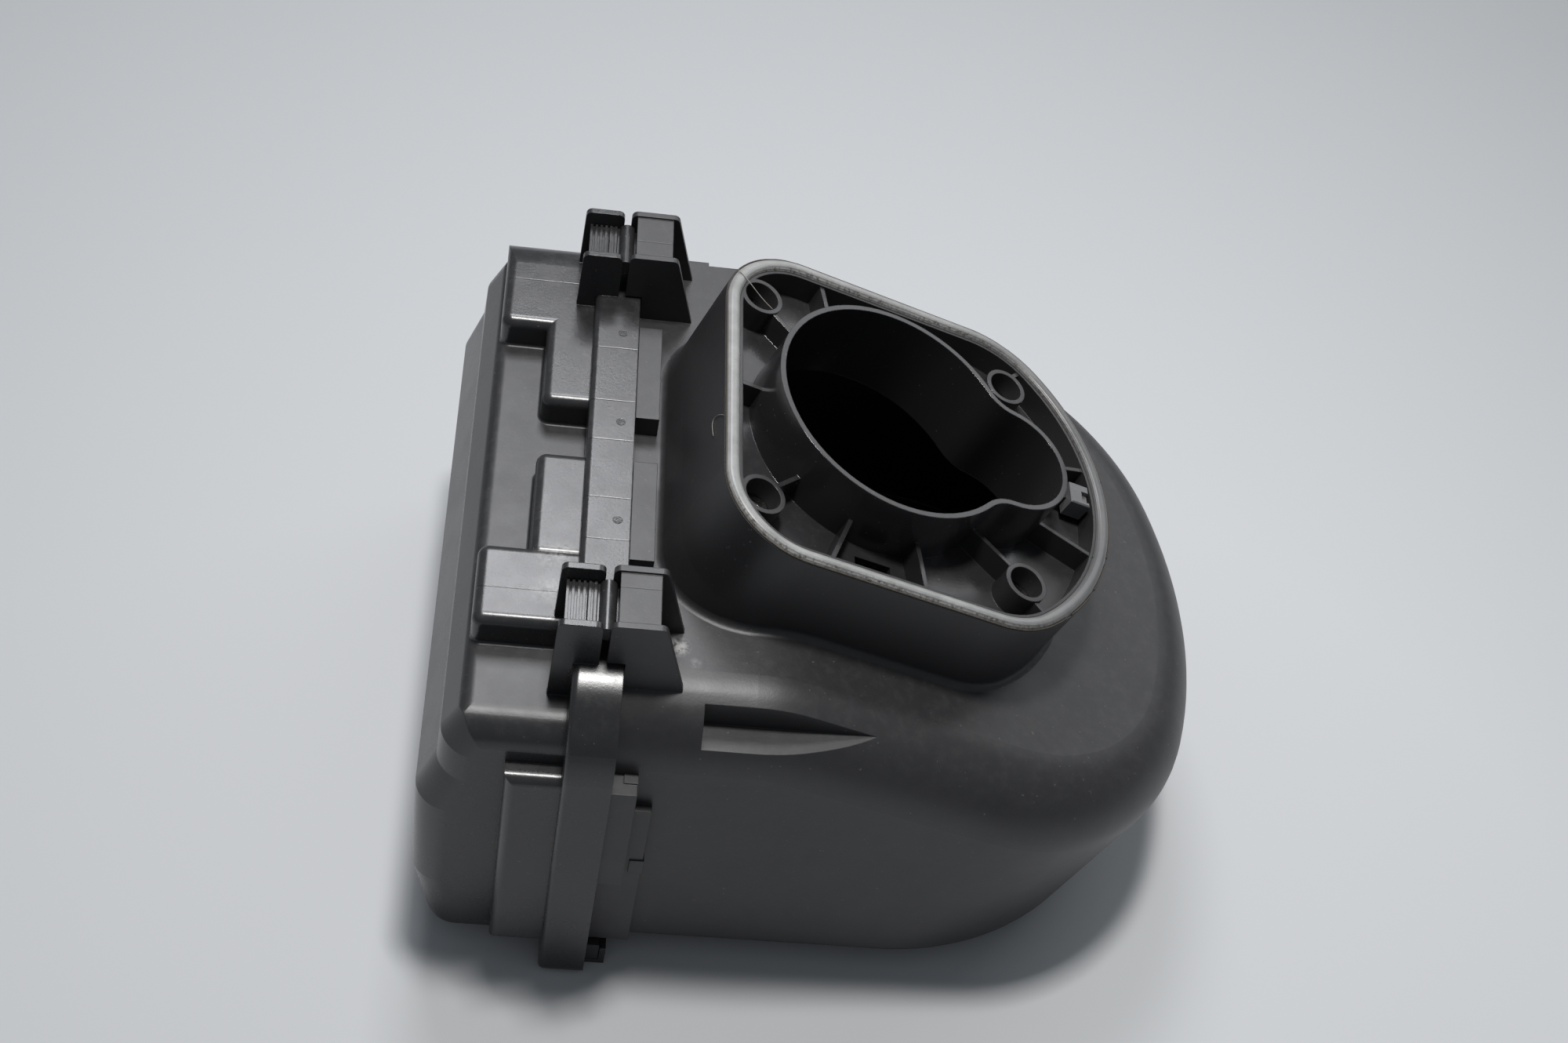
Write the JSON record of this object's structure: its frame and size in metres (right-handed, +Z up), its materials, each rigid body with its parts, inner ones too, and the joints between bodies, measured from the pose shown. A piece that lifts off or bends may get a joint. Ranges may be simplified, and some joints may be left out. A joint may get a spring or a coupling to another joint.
{
  "type": "engine air filter housing",
  "caption": "Injection moulded air filter housing: D-ended tub with a tilted gasketed port and duct collar, clipped to a stepped filter cover by sprung thumb latches.",
  "frame": {"origin": "middle of the footprint, on the surface the housing stands on", "axes": "+X from the filter cover to the round end of the housing, +Y along the parting band to the rear latch, +Z up"},
  "size_m": [0.314, 0.274, 0.2155],
  "materials": {
    "housing_plastic": "satin",
    "cover_plastic": "satin",
    "lever_plastic": "satin",
    "gasket_rubber": "satin",
    "clip_plastic": "satin",
    "insert_metal": "satin",
    "seal_rubber": "matte",
    "filter_paper": "matte"
  },
  "bodies": {
    "case": {"main_housing": "housing_plastic", "filter_cover": "cover_plastic", "neck_gasket": "gasket_rubber", "rim_clip": "clip_plastic", "boss_inserts": "insert_metal", "filter_seal": "seal_rubber", "filter_pleats": "filter_paper"},
    "front_latch": {"latch_lever_front": "lever_plastic"},
    "rear_latch": {"latch_lever_rear": "lever_plastic"}
  },
  "joints": [
    {"name": "front_latch_hinge", "type": "hinge", "parent": "case", "child": "front_latch", "pos_m": [-0.09966, -0.0933, 0.178], "axis": [0, -1, 0], "range_deg": [0, 9], "stiffness_Nm_per_rad": 0.6, "springref_deg": -2.86},
    {"name": "rear_latch_hinge", "type": "hinge", "parent": "case", "child": "rear_latch", "pos_m": [-0.09966, 0.0933, 0.178], "axis": [0, -1, 0], "range_deg": [0, 9], "stiffness_Nm_per_rad": 0.6, "springref_deg": -2.86}
  ]
}
